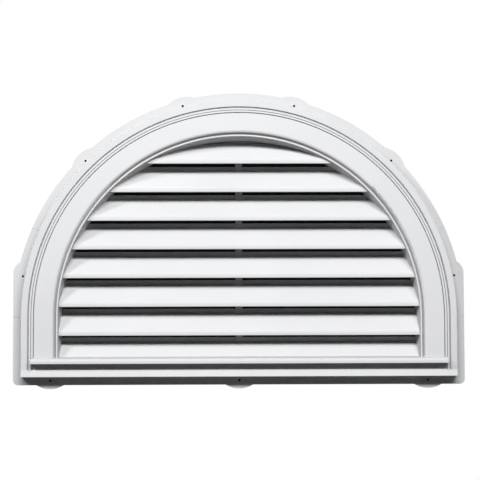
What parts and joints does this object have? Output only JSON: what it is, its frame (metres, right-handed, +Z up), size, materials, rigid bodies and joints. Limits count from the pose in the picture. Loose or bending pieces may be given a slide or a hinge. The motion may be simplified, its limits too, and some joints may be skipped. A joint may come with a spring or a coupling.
{
  "type": "gable vent",
  "caption": "Half-round louvered gable vent: moulded plastic frame with a nailing flange, sloping blades, projecting sill and an insect screen behind.",
  "frame": {"origin": "centre of the arch, where the spring line crosses the middle, on the wall plane (the flange's back face)", "axes": "+X along the sill to the right as seen from the front, +Y into the wall, +Z up"},
  "size_m": [0.8636, 0.0629, 0.5682],
  "materials": {
    "white_plastic": "moulded white plastic, low sheen",
    "dark_mesh": "charcoal woven glass-fibre mesh"
  },
  "bodies": {
    "root": {"louvered_vent": "white_plastic", "insect_screen": "dark_mesh"}
  },
  "joints": []
}
